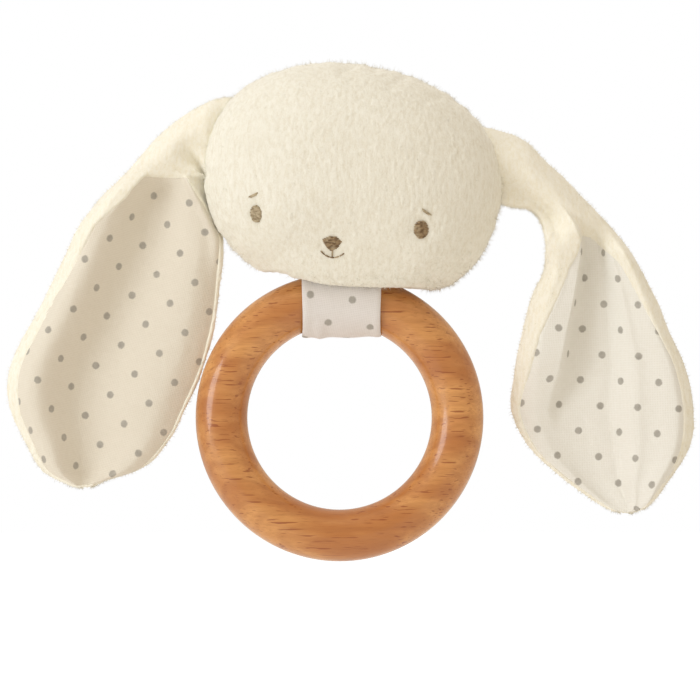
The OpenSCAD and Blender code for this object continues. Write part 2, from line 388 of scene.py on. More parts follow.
def dot_distance(m, u, v, shift):
    """Distance to the nearest dot of one grid, shifted by a share of its pitch both ways."""
    parts = []
    for along, step in ((u, DOT_PITCH), (v, 2 * DOT_ROW)):
        cell = m.math("FRACT", m.plus(m.math("DIVIDE", along, step), 0.5 - shift))
        parts.append(m.times(m.minus(cell, 0.5), step))
    squares = [m.times(p, p) for p in parts]
    return m.math("SQRT", m.plus(*squares))


def cotton_dots(m, u, v):
    """1 on a printed dot and 0 between: two grids of dots, one halfway between the other."""
    near = m.math("MINIMUM", dot_distance(m, u, v, 0.0), dot_distance(m, u, v, 0.5))
    ragged = m.minus(m.noise(0.5 * MM, detail=2), 0.5)
    edge = m.plus(near, m.times(ragged, DOT_RAGGED))
    return m.minus(1.0, m.ramp(edge, DOT_R - DOT_BLUR, DOT_R + DOT_BLUR))


def cotton_weave(m, u, v):
    """1 on a thread and 0 between threads."""
    threads = []
    for along in (u, v):
        wave = m.math("SINE", m.times(along, 2 * math.pi / THREAD_PITCH))
        threads.append(m.plus(m.times(wave, 0.5), 0.5))
    return m.math("MAXIMUM", *threads)


def cotton_material(name, light, shade):
    """Plain-weave cotton with printed grey dots. Its UVs are in tenths of a metre of cloth."""
    m = Nodes(name)
    uv = m.split(m.add("ShaderNodeUVMap", uv_map="UVMap").outputs[0])
    u = m.times(uv[0], CLOTH_UNIT / MM)
    v = m.times(uv[1], CLOTH_UNIT / MM)
    dot = cotton_dots(m, u, v)
    weave = cotton_weave(m, u, v)
    slub = m.noise(0.9 * MM, detail=3)
    # Threads take the light colour and the gaps between them the shade colour: painted shade in
    # the weave.
    ground = m.mix(m.times(weave, 0.7), shade, light)
    ground = m.mix(m.times(m.ramp(slub, 0.45, 0.7), 0.25), ground, shade)
    ink = m.mix(slub, colour(132, 128, 120), colour(182, 177, 168))
    worn = m.spread(m.noise(3 * MM, detail=2), 0.72, 0.95)
    painted = m.mix(m.times(dot, worn), ground, ink)
    crease = m.bump(m.noise(4.5 * MM, detail=3), 0.5 * MM, 0.35)
    woven = m.bump(weave, 0.05 * MM, 0.6, crease)
    return m.finish(
        Base_Color=painted, Roughness=0.85, Normal=woven, Sheen_Weight=0.12,
        Sheen_Roughness=0.5, Specular_IOR_Level=0.2,
    )


GROWTH_PITCH = 5.2 * MM
GROWTH_TILT = 0.85
GROWTH_WANDER = 30 * MM


def growth_lines(m):
    """1 on a growth line and 0 between: tilted layers of the tree, bent by its figure."""
    figure = m.noise(24 * MM, detail=3, stretch=(0.35, 1, 1))
    place = m.split(m.place())
    depth = m.plus(place[2], m.times(place[1], GROWTH_TILT))
    depth = m.plus(depth, m.times(figure, GROWTH_WANDER))
    bands = m.math("SINE", m.times(depth, 2 * math.pi / GROWTH_PITCH))
    return m.ramp(bands, 0.1, 1.0)


def wood_flecks(m):
    """1 on a short dark fleck along X, fading where the wood shows its end grain."""
    fleck = m.ramp(m.noise(0.95 * MM, detail=1, stretch=(0.1, 1, 2.1)), 0.635, 0.7)
    facing = m.split(m.add("ShaderNodeTexCoord").outputs["Normal"])
    end_grain = m.math("POWER", m.math("ABSOLUTE", facing[0]), 2.0)
    return m.times(fleck, m.minus(1.0, end_grain))


def wood_material(name):
    """Varnished beech: short dark flecks, fine pores, faint growth lines and a clear gloss."""
    m = Nodes(name)
    grain = m.noise(0.7 * MM, detail=5, rough=0.65, stretch=(0.09, 1, 1))
    broad = m.noise(9 * MM, detail=3, stretch=(0.3, 1, 1))
    pores = m.ramp(m.noise(0.42 * MM, detail=1, stretch=(0.1, 1, 1.4)), 0.6, 0.68)
    fleck = wood_flecks(m)
    base = m.mix(m.ramp(broad, 0.36, 0.64), colour(186, 116, 54), colour(219, 157, 90))
    base = m.mix(m.times(m.ramp(grain, 0.35, 0.7), 0.4), base, colour(178, 112, 56))
    base = m.mix(m.times(growth_lines(m), 0.17), base, colour(154, 86, 36))
    base = m.mix(m.times(pores, 0.25), base, colour(156, 88, 36))
    base = m.mix(m.times(fleck, 0.8), base, colour(142, 66, 18))
    worn = m.bump(m.plus(fleck, m.times(grain, 0.4)), 0.05 * MM, 0.25)
    return m.finish(
        Base_Color=base, Roughness=m.spread(grain, 0.34, 0.48), Normal=worn,
        Coat_Weight=0.75, Coat_Roughness=0.13, Specular_IOR_Level=0.4,
    )


def thread_material(name, deep, pale):
    """Embroidery thread, paler where it has rubbed."""
    m = Nodes(name)
    strand = m.noise(0.5 * MM, detail=3, stretch=(0.5, 1, 1))
    rubbed = m.ramp(m.noise(1.6 * MM, detail=2), 0.5, 0.65)
    tone = m.mix(m.ramp(strand, 0.35, 0.65), deep, pale)
    tone = m.mix(m.times(rubbed, 0.55), tone, colour(196, 180, 150))
    twist = m.bump(m.noise(0.12 * MM, detail=2, stretch=(0.4, 1, 1)), 0.06 * MM, 0.6)
    return m.finish(Base_Color=tone, Roughness=0.6, Normal=twist, Sheen_Weight=0.2)


def fibre_material(name):
    """Loose white polyester filling."""
    m = Nodes(name)
    curl = m.noise(1.5 * MM, detail=5, rough=0.7)
    tone = m.mix(curl, colour(225, 224, 216), colour(252, 251, 247))
    return m.finish(Base_Color=tone, Roughness=0.95, Normal=m.bump(curl, 0.8 * MM, 0.8))


def capsule_material(name):
    """Moulded plastic with a fine spark-eroded texture."""
    m = Nodes(name)
    spark = m.noise(0.3 * MM, detail=3)
    cloud = m.noise(8 * MM, detail=2)
    tone = m.mix(cloud, colour(214, 222, 226), colour(230, 236, 239))
    return m.finish(Base_Color=tone, Roughness=0.45, Normal=m.bump(spark, 0.03 * MM, 0.4))


def bead_material(name):
    """Tumbled steel beads with fine scuffs."""
    m = Nodes(name)
    scuff = m.noise(0.6 * MM, detail=5, stretch=(1, 0.3, 1))
    tone = m.mix(scuff, colour(150, 154, 158), colour(196, 199, 202))
    return m.finish(Base_Color=tone, Metallic=1.0, Roughness=m.spread(scuff, 0.22, 0.42))


HEAD_PLUSH = plush_material("head_plush", colour(241, 239, 228), colour(229, 224, 208))
# The ear plush is lighter than the head's: partly its own slightly yellower cream, partly painted
# light on the ears' brightly lit rims.
LIT_EAR_PLUSH = plush_material("ear_plush", colour(248, 245, 233), colour(240, 234, 214))
COTTON = cotton_material("dotted_cotton", colour(242, 241, 236), colour(229, 226, 216))
# A darker, warmer copy of the dotted cotton for the left lining: painted shade and painted warm
# bounce light in its cup.
SHADED_COTTON = cotton_material("shaded_cotton", colour(234, 228, 215), colour(220, 212, 196))
# A slightly darker, cooler copy of the cotton for the loop: the darkening is painted shade from
# the head above it, the cooler tint is the cloth's own.
SHADED_LOOP_COTTON = cotton_material("shaded_loop_cotton", colour(237, 234, 232), colour(220, 215, 212))
THREAD = thread_material("thread", colour(106, 80, 48), colour(164, 139, 104))
PALE_THREAD = thread_material("rubbed_thread", colour(138, 120, 90), colour(194, 179, 150))


def dress(obj, material):
    """Gives a piece its material."""
    obj.data.materials.clear()
    obj.data.materials.append(material)


# ---- head ----

# Powers of the rounded outline: above the middle, and below it on either side.
CROWN_POWER = 2.15
LEFT_CHEEK_POWER = 2.2
RIGHT_CHEEK_POWER = 2.34

# Points round the base mesh, and its rings between the seam and the middle of each side.
HEAD_TURNS = 96
HEAD_RINGS = 26

# The cloth solver runs at ten times the size, where its settings suit cushions.
SIM_SCALE = 10.0
SIM_STEPS = 20
PUFF = 1.5 * MM
SEAM_HELD = 1.6 * MM
FILL_VOXEL = 1.9 * MM
PILE_VOXEL = 0.38 * MM

FIBRE_R = 0.06 * MM
FIBRE_LEAN = 0.5
HEAD_FIBRE = 1.5 * MM
HEAD_FIBRES = 2600
EAR_FIBRE = 1.0 * MM
EAR_FIBRES = 4400


def head_outline(angle, share):
    """A point of the head seen from the front; share is 0 at the middle and 1 at the seam."""
    c, s = np.cos(angle), np.sin(angle)
    cheek = np.where(c > 0, RIGHT_CHEEK_POWER, LEFT_CHEEK_POWER)
    power = np.where(s > 0, CROWN_POWER, cheek)
    reach = np.where(s > 0, HEAD_UP, HEAD_DOWN)
    u = HEAD_HALF_W * share * signed_power(c, 2 / power)
    v = reach * share * signed_power(s, 2 / power)
    right, up = rotated(u, v, -HEAD_LEAN)
    return HEAD_X + right, HEAD_Z + up


def hang_chin(co):
    """Lets the underside hang a little in front of the loop and behind it."""
    hang = 2.2 * MM
    low = 1 - smoothstep(TUBE_Z + 2 * MM, TUBE_Z + 11 * MM, co[:, 2])
    near = 1 - smoothstep(8 * MM, 22 * MM, np.abs(co[:, 0] - HEAD_X))
    co[:, 2] -= hang * low * near
    return co


def soft_floor(height, ease):
    """Height kept above 0, with a bend of about ease instead of a corner."""
    return (height + np.sqrt(height**2 + ease**2)) / 2


def rest_on_ring(co):
    """Lifts the head's underside clear of the loop and the ring it sits over."""
    x, y, z = co.T
    groove = LOOP_R + LOOP_T / 2 + 0.9 * MM
    flat = 11 * MM
    fade = 10 * MM
    beyond = np.clip((np.abs(x) - flat) / fade, 0, 1)
    radius = groove * np.sqrt(1 - beyond**2)
    floor = TUBE_Z + np.sqrt(np.maximum(radius**2 - y**2, 0))
    lifted = floor + soft_floor(z - floor, 0.6 * MM)
    z = np.where(np.abs(y) < radius, lifted, z)
    return np.column_stack([x, y, CHIN_Z + soft_floor(z - CHIN_Z, 0.8 * MM)])


def head_base():
    """The head before filling, a closed pillow a little flatter than the real one."""
    deepest = HEAD_HALF_D - PUFF * 0.6
    rings = []
    for i in range(-HEAD_RINGS + 1, HEAD_RINGS):
        share = math.sin(math.pi / 2 * (1 - abs(i) / HEAD_RINGS))
        x, z = head_outline(turns(HEAD_TURNS), share)
        y = deepest * math.sqrt(1 - share**2.5) * np.sign(i)
        rings.append(np.column_stack([x, np.full_like(x, y), z]))
    co = np.concatenate(rings)
    front, back = len(co), len(co) + 1
    last = len(co) - HEAD_TURNS
    faces = tube_faces(len(rings), HEAD_TURNS)
    for j in range(HEAD_TURNS):
        k = (j + 1) % HEAD_TURNS
        faces.append((front, k, j))
        faces.append((back, last + j, last + k))
    co = np.vstack([co, [HEAD_X, -deepest, HEAD_Z], [HEAD_X, deepest, HEAD_Z]])
    return mesh_object("head_plush", co, faces)


def fill_head(head):
    """Fills the head by cloth simulation: its seam is held, and pressure crowns both sides."""
    move_points(head, points_of(head) * SIM_SCALE)
    before = points_of(head)
    seam = np.abs(before[:, 1]) < SEAM_HELD * SIM_SCALE
    group = head.vertex_groups.new(name="seam")
    group.add([int(i) for i in np.nonzero(seam)[0]], 1.0, "REPLACE")
    settings = head.modifiers.new("cloth", "CLOTH").settings
    settings.vertex_group_mass = "seam"
    settings.use_pressure = True
    settings.uniform_pressure_force = 4.0
    settings.tension_stiffness = 8
    settings.compression_stiffness = 8
    settings.bending_stiffness = 0.15
    settings.shrink_min = -0.03
    settings.quality = 6
    settings.effector_weights.gravity = 0.0
    for step in range(1, SIM_STEPS + 1):
        bpy.context.scene.frame_set(step)
    apply_modifiers(head)
    bpy.context.scene.frame_set(1)
    moved = (points_of(head) - before) / SIM_SCALE
    far = np.linalg.norm(moved, axis=1)
    moved *= np.minimum(1, PUFF / np.maximum(far, 1e-9))[:, None]
    from_ring = np.hypot(before[:, 0], before[:, 2] - TUBE_Z * SIM_SCALE) / SIM_SCALE
    moved *= smoothstep(14 * MM, 26 * MM, from_ring)[:, None]
    move_points(head, before / SIM_SCALE + moved)


# Places on the face, from the middle of the head, before the face leans.
FACE_MID = -2.7 * MM
EYE_UP = -10.8 * MM
EYE_HALF_GAP = 20.1 * MM
NOSE_UP = -16.1 * MM


def face_spot(across, up):
    """Where a place on the face is, seen from the front, once the face leans."""
    right, up = rotated(across, up, -FACE_LEAN)
    return HEAD_X + right, HEAD_Z + up


def pull_in_face(co):
    """Tight stitches draw the plush in a little at the eyes and the nose."""
    spots = [
        (*face_spot(FACE_MID - EYE_HALF_GAP, EYE_UP), 0.7 * MM, 3.2 * MM),
        (*face_spot(FACE_MID + EYE_HALF_GAP, EYE_UP), 0.8 * MM, 3.4 * MM),
        (*face_spot(FACE_MID, NOSE_UP - 1.0 * MM), 0.6 * MM, 4.0 * MM),
    ]
    front = co[:, 1] < 0
    for x, z, deep, wide in spots:
        away = np.hypot(co[:, 0] - x, co[:, 2] - z)
        co[:, 1] += np.where(front, deep * bell(away, 0, wide), 0)
    return co


def pinch_seam(co, no):
    """The seam round the head lies in a narrow valley, gathered and puckered by its stitches."""
    gathers = 58
    puckers = 41
    turn = np.arctan2(co[:, 2] - HEAD_Z, co[:, 0] - HEAD_X)
    valley = 0.9 * MM * bell(co[:, 1], 0, 1.0 * MM) * (0.75 + 0.25 * np.sin(turn * gathers))
    pucker = 0.08 * MM * np.sin(turn * puckers) * bell(co[:, 1], 0, 5 * MM)
    return co - no * (valley + pucker)[:, None]


def raise_pile(obj, amount, seed):
    """Lifts tufts of pile out of a finely meshed plush surface. Heights are in millimetres."""
    co, no = points_of(obj), normals_of(obj)
    streaks = noise_at(co, 1.0 * MM, 0.35, seed)
    tufts = noise_at(co, 0.6 * MM, 0.6, seed + 7)
    lumps = noise_at(co, 9 * MM, 1, seed + 3)
    strays = noise_at(co, 1.1 * MM, 0.8, seed + 13)
    height = 0.08 * streaks + 0.26 * np.clip(tufts, 0, 1) ** 1.4 + 0.14 * lumps
    height += 0.6 * np.clip(strays - 0.5, 0, 1)
    move_points(obj, co + no * (height * MM * amount)[:, None])


def add_fibres(obj, weight, longest, count, seed):
    """Single fibres that stand out of the pile: thin closed spikes, rooted in the surface."""
    rng = np.random.default_rng(seed)
    co, no = points_of(obj), normals_of(obj)
    picks = rng.choice(len(co), count, p=weight / weight.sum())
    out = unit(no[picks] + rng.normal(0, FIBRE_LEAN, (count, 3)))
    side = unit(np.cross(out, rng.normal(0, 1, (count, 3))))
    up = np.cross(out, side)
    length = rng.uniform(0.3, 1.0, count) ** 1.5 * longest
    verts = [co[picks] + out * length[:, None]]
    for turn in turns(3):
        around = (side * math.cos(turn) + up * math.sin(turn)) * FIBRE_R
        verts.append(co[picks] - no[picks] * FIBRE_R * 2 + around)
    faces = []
    for tip in range(count):
        a, b, c = (tip + count * corner for corner in (1, 2, 3))
        faces += [(tip, a, b), (tip, b, c), (tip, c, a), (c, b, a)]
    fibres = mesh_object("fibres", np.concatenate(verts), faces)
    with editing(obj) as bm:
        bm.from_mesh(fibres.data)
    bpy.data.objects.remove(fibres)


def clear_of_ring(co):
    """0 where a fibre would reach the loop, or would brush the ring when the head nods."""
    across = np.abs(co[:, 0])
    away = np.hypot(co[:, 1], co[:, 2] - TUBE_Z)
    beside = smoothstep(10 * MM, 12 * MM, across) * (1 - smoothstep(19 * MM, 22 * MM, across))
    brushed = beside * (1 - smoothstep(9 * MM, 10.5 * MM, away))
    in_groove = (1 - smoothstep(14 * MM, 18 * MM, across)) * (away < 8.6 * MM)
    return (1 - in_groove) * (1 - brushed)


def split_head(head):
    """Cuts the head at its seam into two closed solids, the front and the back."""
    halves = []
    for name, side in (("head_front_plush", -1), ("head_back_plush", 1)):
        half = head.copy()
        half.data = head.data.copy()
        half.name = half.data.name = name
        link(half)
        with editing(half) as bm:
            whole = bm.verts[:] + bm.edges[:] + bm.faces[:]
            cut = bmesh.ops.bisect_plane(
                bm, geom=whole, plane_co=(0, 0, 0), plane_no=(0, -side, 0), clear_outer=True
            )
            rim = [g for g in cut["geom_cut"] if isinstance(g, bmesh.types.BMEdge)]
            bmesh.ops.triangle_fill(bm, edges=rim, use_beauty=True)
            bmesh.ops.recalc_face_normals(bm, faces=bm.faces[:])
        halves.append(half)
    bpy.data.objects.remove(head)
    return halves


def build_head():
    """Both plush panels of the head. Gives the surface under the pile, for the stitches."""
    head = head_base()
    move_points(head, rest_on_ring(hang_chin(points_of(head))))
    remesh(head, FILL_VOXEL, 1)
    fill_head(head)
    remesh(head, PILE_VOXEL, 14)
    move_points(head, rest_on_ring(pull_in_face(points_of(head))))
    move_points(head, pinch_seam(points_of(head), normals_of(head)))
    surface = BVHTree.FromObject(head, bpy.context.evaluated_depsgraph_get())
    raise_pile(head, 1.0, 11.0)
    front, back = split_head(head)
    for half, node in ((front, "head_front_panel"), (back, "head_back_panel")):
        co = points_of(half)
        chin = bell(co[:, 2], CHIN_Z, 4 * MM)
        weight = clear_of_ring(co) * (0.03 + bell(co[:, 1], 0, 3 * MM) + 0.7 * chin)
        add_fibres(half, weight, HEAD_FIBRE, HEAD_FIBRES, 41)
        dress(half, HEAD_PLUSH)
        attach(half, "head")
        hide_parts(node)
    return surface


# ---- embroidered face ----

STRAND_R = 0.19 * MM
STRAND_STEP = 1.45 * STRAND_R
STRAND_SIDES = 6
STITCH_STEPS = 8
SUNK_END = 0.1 * MM


def on_surface(surface, x, z):
    """The point and the outward direction of the head's front at a place seen from the front."""
    hit, normal, _, _ = surface.ray_cast(Vector((x, -1.0, z)), Vector((0, 1, 0)))
    return hit, normal


def add_strand(verts, faces, path, radius):
    """One thread: a tube along a path of points, with pointed ends that go into the cloth."""
    sides = STRAND_SIDES
    start = len(verts)
    for i, point in enumerate(path):
        ahead = path[min(i + 1, len(path) - 1)] - path[max(i - 1, 0)]
        side = ahead.cross(Vector((0, 1, 0))).normalized()
        up = side.cross(ahead).normalized()
        thick = radius * (0.35 if i in (0, len(path) - 1) else 1.0)
        for a in turns(sides):
            verts.append(point + side * (thick * math.cos(a)) + up * (thick * math.sin(a)))
    for i in range(len(path) - 1):
        for j in range(sides):
            k = (j + 1) % sides
            row, after = start + i * sides, start + (i + 1) * sides
            faces.append((row + j, after + j, after + k, row + k))
    last = start + (len(path) - 1) * sides
    faces.append(tuple(start + j for j in range(sides)))
    faces.append(tuple(last + j for j in reversed(range(sides))))


def stitch_path(surface, a, b, lift):
    """A stitch from a to b on the face, standing proud by lift in its middle."""
    path = []
    for i in range(STITCH_STEPS + 1):
        f = i / STITCH_STEPS
        hit, normal = on_surface(surface, a[0] + (b[0] - a[0]) * f, a[1] + (b[1] - a[1]) * f)
        path.append(hit + normal * (lift * math.sin(math.pi * f) ** 0.5 - SUNK_END))
    return path


def embroider(name, surface, stitches, radius=STRAND_R, lift=0.55 * MM, thread=THREAD):
    """One embroidered shape from stitches, each a pair of places on the face."""
    verts, faces = [], []
    for start, end in stitches:
        path = stitch_path(surface, face_spot(*start), face_spot(*end), lift)
        add_strand(verts, faces, path, radius)
    piece = mesh_object(name + "_stitches", verts, faces)
    dress(piece, thread)
    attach(piece, "head")
    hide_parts(name)


def turned(middle, turn, places):
    """Places about a middle, turned together."""
    spots = [rotated(u, v, turn) for u, v in places]
    return [(middle[0] + u, middle[1] + v) for u, v in spots]


def satin_oval(middle, half_w, half_h, turn, ragged, seed):
    """Level satin stitches, one above another, that fill a leaning oval."""
    rng = np.random.default_rng(seed)
    rows = int(2 * half_h / STRAND_STEP)
    stitches = []
    for i in range(rows):
        v = half_h * (2 * (i + 0.5) / rows - 1)
        wide = half_w * math.sqrt(1 - (v / half_h) ** 2)
        left = -wide - rng.uniform(0, ragged)
        right = wide + rng.uniform(0, ragged)
        slope = rng.uniform(-0.12, 0.12) * MM
        stitches.append(turned(middle, turn, [(left, v - slope), (right, v + slope)]))
    return stitches


def brow(middle, half_len, turn):
    """Two stitches, one over the other."""
    stitches = []
    for offset, reach in ((0.1 * MM, 1.0), (-0.14 * MM, 0.72)):
        ends = [(-half_len * reach, offset), (half_len * reach, offset)]
        stitches.append(turned(middle, turn, ends))
    return stitches


def nose_stitches():
    """Level satin stitches in a rounded triangle, point down."""
    rng = np.random.default_rng(5)
    middle = (FACE_MID - 0.8 * MM, NOSE_UP)
    half_w = 2.6 * MM
    tall = 3.4 * MM
    rows = 12
    stitches = []
    for i in range(rows):
        f = (i + 0.5) / rows
        wide = half_w * min(1, 3.2 * f) ** 0.5 * (1 - f**2.2) ** 0.8
        v = middle[1] + tall * (0.5 - f)
        left = middle[0] - wide - rng.uniform(0, 0.15) * MM
        right = middle[0] + wide + rng.uniform(0, 0.15) * MM
        stitches.append([(left, v), (right, v + rng.uniform(-0.1, 0.1) * MM)])
    return stitches


def mouth_stitches():
    """A short stem under the nose, and back stitches along a shallow smile."""
    x, z = FACE_MID - 0.5 * MM, NOSE_UP - 3.4 * MM
    stem = [[(x - 0.05 * MM, z + 1.9 * MM), (x, z + 0.1 * MM)]]
    half_w = 2.9 * MM
    rise = 1.35 * MM
    count = 5
    ends = []
    for i in range(count + 1):
        f = 2 * i / count - 1
        ends.append((x + half_w * f, z + rise * f * f))
    return stem + [[ends[i], ends[i + 1]] for i in range(count)]


def build_face(surface):
    """Eyes, brows, nose and mouth, each its own piece of thread on the head."""
    left = (FACE_MID - EYE_HALF_GAP + 0.4 * MM, EYE_UP)
    right = (FACE_MID + EYE_HALF_GAP, EYE_UP)
    left_oval = satin_oval(left, 1.45 * MM, 2.0 * MM, 0.22, 0.15 * MM, 1)
    right_oval = satin_oval(right, 1.85 * MM, 2.1 * MM, 0.1, 0.12 * MM, 2)
    embroider("left_eye", surface, left_oval, thread=PALE_THREAD)
    embroider("right_eye", surface, right_oval)
    left_brow = brow((left[0] - 1.0 * MM, EYE_UP + 4.3 * MM), 1.35 * MM, 0.52)
    right_brow = brow((right[0] + 0.9 * MM, EYE_UP + 4.2 * MM), 1.45 * MM, -0.5)
    for name, stitches in (("left_brow", left_brow), ("right_brow", right_brow)):
        embroider(name, surface, stitches, lift=0.35 * MM, thread=PALE_THREAD)
    embroider("nose", surface, nose_stitches())
    embroider("mouth", surface, mouth_stitches(), 0.17 * MM, 0.4 * MM)


# ---- ears ----

EAR_ROWS = 210
EAR_COLS = 168
LINING_ROWS = 190
LINING_COLS = 110

# Where the edge points of the root are, as shares of its turn from the pivot to the first row.
ROOT_SHARES = (0.12, 0.5, 0.9)
ROOT_ROWS = len(ROOT_SHARES)

# How round the ear's edge is, and the bed that the lining lies in.
EDGE_POWER = 0.62
RECESS = 0.75 * MM
BED_EDGE = 0.9 * MM
BED_END = 0.12
LINING_T = 0.45 * MM
LINING_PROUD = 0.12 * MM
TUCK = 0.35 * MM


class Ear:
    """One ear: two edge curves from its root to its tip, and the sheet between them.

    A row of edges is (outer across, outer down, inner across, inner down): across is a share of
    the reach from the root outward, and down a share of the length below the fold. A row of the
    lining is (row, from, to): the lining's two sides as shares of the way from the inner edge.
    Halves are (row, half of the thickness in millimetres). A root has, for the outer edge and
    the inner one, its radius about the pivot and its turn in degrees."""

    def __init__(self, name, side, edges, lining, halves, root, depth):
        self.name = name
        self.side = side
        self.lining = lining
        self.halves = halves
        self.depth = depth
        lift = joints[name + "_ear_lift"]["pos_m"]
        flop = joints[name + "_ear_flop"]["pos_m"]
        lo, hi = corners(name + "_ear_plush", name + "_ear_lining")
        outer_x = lo[0] if side < 0 else hi[0]
        self.pivot = np.array([lift[0], lift[2]])
        self.fold = np.array(flop)
        self.reach = abs(outer_x - lift[0])
        self.length = flop[2] - lo[2]
        outer, inner = [], []
        for share in ROOT_SHARES:
            for rim, (radius, turn) in zip((outer, inner), root):
                a = math.radians(turn * share)
                rim.append(self.pivot + radius * np.array([-side * math.cos(a), math.sin(a)]))
        for row in edges:
            outer.append(self.spot(*row[:2]))
            inner.append(self.spot(*row[2:]))
        self.outer, self.inner = np.array(outer), np.array(inner)
        self.last_row = len(outer) - 1 - ROOT_ROWS

    def spot(self, across, down):
        """A place in the ear's plane, as (x, z)."""
        x = self.pivot[0] + self.side * self.reach * across
        return np.array([x, self.fold[2] - self.length * down])

    def flat(self, row, t):
        """Places across a row, from its inner edge at t = 0 to its outer one, and its width."""
        at = row + ROOT_ROWS
        outer, inner = spline(self.outer, at), spline(self.inner, at)
        return inner + (outer - inner) * t[:, None], np.linalg.norm(outer - inner, axis=1)

    def half_thickness(self, row):
        rows, halves = np.array(self.halves).T
        return np.interp(row, rows, halves) * MM

    def lining_sides(self, row):
        """The lining's two sides at a row, as values of t."""
        rows, sides_from, sides_to = np.array(self.lining).T
        return np.interp(row, rows, sides_from), np.interp(row, rows, sides_to)

    def in_lining(self, row, t, width):
        """1 inside the lining's outline and 0 outside, soft over its edge."""
        left, right = self.lining_sides(row)
        start, end = self.lining[0][0], self.lining[-1][0]
        inside = smoothstep(0, BED_EDGE, (t - left) * width)
        inside = inside * smoothstep(0, BED_EDGE, (right - t) * width)
        inside = inside * smoothstep(start, start + BED_END, row)
        return inside * (1 - smoothstep(end - BED_END, end, row))


def roll(t, start):
    """0 up to start, then a growing turn that reaches 1 at the edge."""
    return np.clip((t - start) / (1 - start), 0, 1) ** 1.4


def level_tip(depth, row, start, end):
    """Fades the folds out towards the tip, where the ear is narrow."""
    tip_depth = -2.0
    fade = smoothstep(start, end, row)
    return depth * (1 - fade) + tip_depth * fade


def left_depth(row, t):
    """How far back the left ear's sheet is: a cup whose outer side comes forward to a rim.

    The heights in it are in millimetres, as they are in right_depth."""
    rim = -4.8
    cup = smoothstep(2.8, 3.7, row) * (1 - 0.35 * smoothstep(8, 12, row))
    valley = np.interp(row[0], [3, 6, 9, 12], [0.5, 0.54, 0.6, 0.6])
    bowl = profile(t, [0, 0.16, valley, 0.84, 1], [0.2, -1.6, 3.2, rim, rim + 2.4])
    crease = np.interp(row, [3.9, 4.8], [0.78, 0.88])
    turned_out = smoothstep(2.9, 3.2, row) * (1 - smoothstep(4.9, 5.8, row))
    facet = turned_out * smoothstep(crease - 0.07, crease + 0.02, t)
    depth = cup * (bowl + (rim - bowl) * facet) + cup * 3.4 * roll(t, 0.88)
    flap = np.interp(row, [3, 4, 5, 6], [0.27, 0.12, 0.05, 0.02])
    lifted = smoothstep(2.9, 3.3, row) * (1 - smoothstep(5.0, 6.2, row))
    depth += lifted * (1.3 * smoothstep(flap - 0.02, flap - 0.09, t) - 1.5 * bell(t, flap, 0.045))
    pleat = smoothstep(-0.4, 0.4, row) * (1 - smoothstep(2.4, 3.0, row))
    depth += pleat * 2.3 * bell(row, 1.1 + 0.6 * t, 0.42) * smoothstep(0.85, 0.3, t)
    depth -= pleat * 1.8 * bell(t, 0.7, 0.25)
    return level_tip(depth, row, 11.2, 13) * MM


def right_depth(row, t):
    """How far back the right ear's sheet is: a crest, a valley beside it, then a raised rim."""
    crest = np.interp(row, [4, 5, 6, 7, 8, 9, 10], [0.5, 0.47, 0.36, 0.34, 0.29, 0.255, 0.19])
    height = smoothstep(3.0, 5.7, row) * (1 - smoothstep(8.4, 10.8, row))
    depth = -7.2 * height * np.where(t < crest, 1.0, bell(t, crest, 0.05))
    open_out = smoothstep(4.4, 6.0, row)
    across = np.clip((t - crest) / (1 - crest), 0, 1)
    depth += open_out * profile(across, [0, 0.4, 0.64, 0.92, 1], [4.2, 2.4, -2.4, -5.2, -5.2])
    depth += smoothstep(9, 11, row) * -4.4 * np.clip(1 - t / 0.4, 0, 1) ** 1.6
    tube = smoothstep(-0.5, 0.8, row) * (1 - smoothstep(4.2, 5.2, row))
    depth += tube * (1.6 * bell(t, 0.2, 0.12) - 2.0 * bell(t, 0.6, 0.3))
    depth += open_out * (2.8 * roll(t, 0.9) + 3.0 * roll(1 - t, 0.86))
    return level_tip(depth, row, 12.0, 14) * MM


def plush_grid(ear):
    """Points of the ear's closed plush body, row by row, with a sunk bed for the lining."""
    theta = turns(EAR_COLS)
    t = (1 - np.cos(theta)) / 2
    round_y = signed_power(np.sin(theta), EDGE_POWER)
    grid, pile = [], []
    for row in np.linspace(-ROOT_ROWS, ear.last_row, EAR_ROWS):
        at = np.full(EAR_COLS, row)
        flat, width = ear.flat(at, t)
        bed = ear.in_lining(at, t, width) * (round_y > 0)
        y = ear.fold[1] + ear.depth(at, t) - ear.half_thickness(at) * round_y + bed * RECESS
        grid.append(np.column_stack([flat[:, 0], y, flat[:, 1]]))
        pile.append(1 - bed)
    return np.concatenate(grid), np.concatenate(pile)


def build_ear_plush(ear):
    """The ear's plush body, with pile everywhere but in the lining's bed."""
    verts, pile = plush_grid(ear)
    faces = tube_faces(EAR_ROWS, EAR_COLS)
    faces += end_faces(0, EAR_COLS, True)
    faces += end_faces((EAR_ROWS - 1) * EAR_COLS, EAR_COLS, False)
    if ear.side > 0:
        faces = flipped(faces)
    plush = mesh_object(ear.name + "_ear_plush_cloth", verts, faces)
    co, no = points_of(plush), normals_of(plush)
    lumps = noise_at(co, 11 * MM, 1, 4.0 + ear.side)
    move_points(plush, co + no * (pile * lumps * 0.35 * MM)[:, None])
    raise_pile(plush, 1.15 * pile, 31.0 + ear.side)
    from_edge = np.tile(np.sin(turns(EAR_COLS)), EAR_ROWS)
    weight = pile * (0.06 + bell(from_edge, 0, 0.25))
    add_fibres(plush, weight, EAR_FIBRE, EAR_FIBRES, 43 + ear.side)
    # The lighter ear plush carries painted light on the ears' rims.
    dress(plush, LIT_EAR_PLUSH)
    return plush


